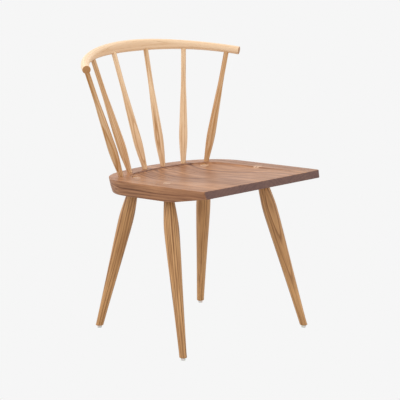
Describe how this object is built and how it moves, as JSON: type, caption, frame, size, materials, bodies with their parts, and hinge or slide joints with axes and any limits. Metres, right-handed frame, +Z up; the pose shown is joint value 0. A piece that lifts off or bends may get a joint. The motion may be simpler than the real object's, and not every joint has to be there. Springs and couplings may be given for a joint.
{
  "type": "windsor side chair",
  "caption": "Armless spindle-back side chair: saddled wooden seat, splayed turned legs tenoned through it, turned spindles and a bent crest rail.",
  "frame": {"origin": "on the floor under the middle of the whole chair: half way across its width and half way along its depth", "axes": "+Z up; -Y is the way a sitter faces, so +Y points to the back; +X is the sitter's left"},
  "size_m": [0.5602, 0.5454, 0.7534],
  "materials": {
    "seat_walnut": "oiled walnut, satin",
    "crest_ash": "clear oiled ash, satin",
    "spindle_ash": "clear oiled ash, satin",
    "leg_ash": "clear oiled ash, satin",
    "wedge_walnut": "oiled walnut, satin",
    "glide_nylon": "moulded white nylon",
    "nail_steel": "bright steel"
  },
  "bodies": {
    "root": {"seat": "seat_walnut", "crest_rail": "crest_ash", "spindle_1": "spindle_ash", "spindle_2": "spindle_ash", "spindle_3": "spindle_ash", "spindle_4": "spindle_ash", "spindle_5": "spindle_ash", "spindle_6": "spindle_ash", "leg_front_left": "leg_ash", "leg_front_right": "leg_ash", "leg_rear_left": "leg_ash", "leg_rear_right": "leg_ash", "leg_wedge_front_left": "wedge_walnut", "leg_wedge_front_right": "wedge_walnut", "leg_wedge_rear_left": "wedge_walnut", "leg_wedge_rear_right": "wedge_walnut", "glide_front_left": "glide_nylon", "glide_front_right": "glide_nylon", "glide_rear_left": "glide_nylon", "glide_rear_right": "glide_nylon", "glide_nail_front_left": "nail_steel", "glide_nail_front_right": "nail_steel", "glide_nail_rear_left": "nail_steel", "glide_nail_rear_right": "nail_steel"}
  },
  "joints": []
}
